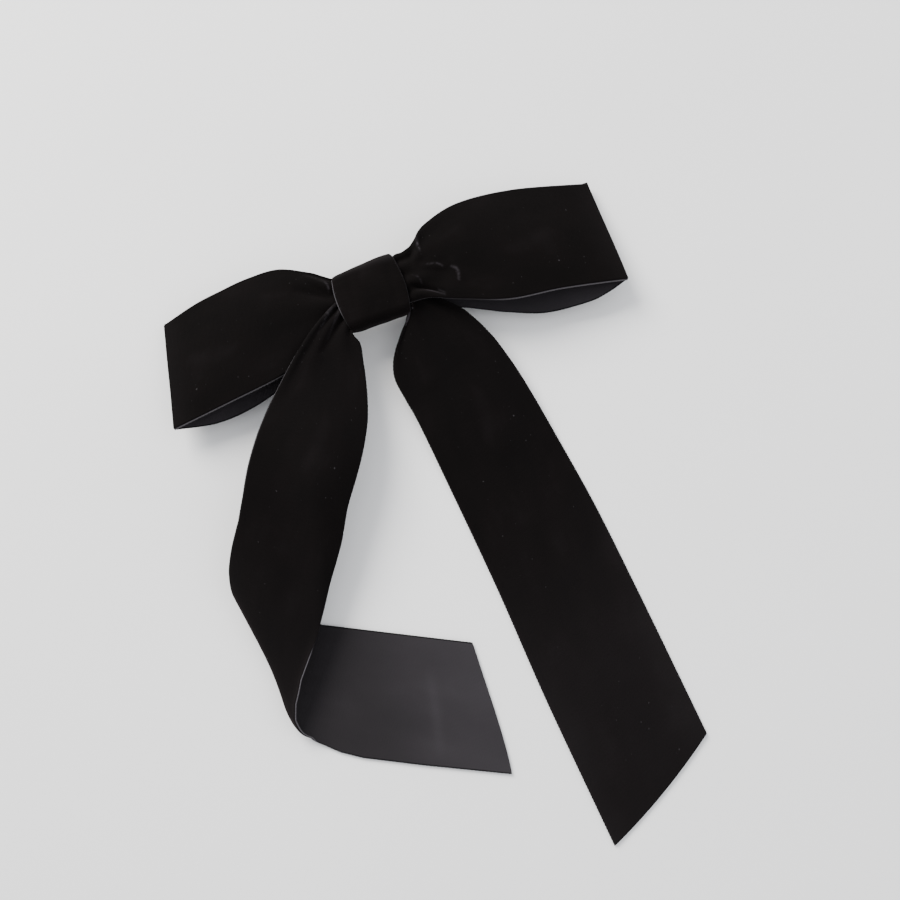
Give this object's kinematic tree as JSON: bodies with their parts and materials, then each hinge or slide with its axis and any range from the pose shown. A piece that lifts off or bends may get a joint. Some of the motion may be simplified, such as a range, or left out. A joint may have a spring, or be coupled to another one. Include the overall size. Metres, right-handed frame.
{
  "type": "hair bow",
  "caption": "Black velvet ribbon hair bow with folded loops, long tails, a pinched centre wrap and a French barrette clasp behind the knot.",
  "frame": {"origin": "on the flat underside of the closed clasp arm, on the surface that the bow rests on, under the middle of the knot", "axes": "+X along the loops towards the right loop, +Y from the tails towards the top of the loops, +Z out of the front of the bow"},
  "size_m": [0.2036, 0.2704, 0.025],
  "materials": {
    "velvet_ribbon": "short dense black pile in front, dull charcoal weave behind",
    "velvet_wrap": "short dense black pile",
    "thread": "twisted sewing thread",
    "set_glue": "set hot-melt glue, cloudy",
    "plated_steel": "nickel-plated pressed steel",
    "spring_steel": "plated spring steel"
  },
  "bodies": {
    "bow": {"right_loop": "velvet_ribbon", "left_loop": "velvet_ribbon", "left_tail_neck": "velvet_ribbon", "right_tail_neck": "velvet_ribbon", "centre_wrap": "velvet_wrap", "pinched_centre": "velvet_ribbon", "gathering_thread": "thread", "wrap_stitches": "thread", "glue_pad": "set_glue", "top_bar": "plated_steel", "hinge_rivet": "plated_steel"},
    "left_tail_ribbon": {"left_tail": "velvet_ribbon"},
    "right_tail_ribbon": {"right_tail": "velvet_ribbon"},
    "arm": {"clasp_arm": "plated_steel"},
    "spring_strip": {"tension_bar": "spring_steel"},
    "front_tab": {"catch_tab_front": "spring_steel"},
    "rear_tab": {"catch_tab_rear": "spring_steel"}
  },
  "joints": [
    {"name": "left_tail_lift", "type": "hinge", "parent": "bow", "child": "left_tail_ribbon", "pos_m": [-0.02875, -0.02125, 0.0191], "axis": [-0.9933, -0.0741, 0.0889], "range_deg": [0, 50]},
    {"name": "right_tail_lift", "type": "hinge", "parent": "bow", "child": "right_tail_ribbon", "pos_m": [0.02, -0.02275, 0.0124], "axis": [-0.9992, -0.0405, 0], "range_deg": [0, 50]},
    {"name": "clasp_hinge", "type": "hinge", "parent": "bow", "child": "arm", "pos_m": [-0.028, 0, 0.0026], "axis": [0, 1, 0], "range_deg": [0, 70]},
    {"name": "tension_flex", "type": "hinge", "parent": "bow", "child": "spring_strip", "pos_m": [-0.023, 0, 0.00654], "axis": [0, -1, 0], "range_deg": [0, 2], "stiffness_Nm_per_rad": 0.02},
    {"name": "front_tab_pinch", "type": "hinge", "parent": "bow", "child": "front_tab", "pos_m": [0.027, -0.0015, 0.0058], "axis": [1, 0, 0], "range_deg": [0, 8], "stiffness_Nm_per_rad": 0.005},
    {"name": "rear_tab_pinch", "type": "hinge", "parent": "bow", "child": "rear_tab", "pos_m": [0.027, 0.0015, 0.0058], "axis": [-1, 0, 0], "range_deg": [0, 8], "stiffness_Nm_per_rad": 0.005}
  ],
  "couplings": [
    {"joint": "rear_tab_pinch", "follows": "front_tab_pinch", "ratio": 1}
  ]
}
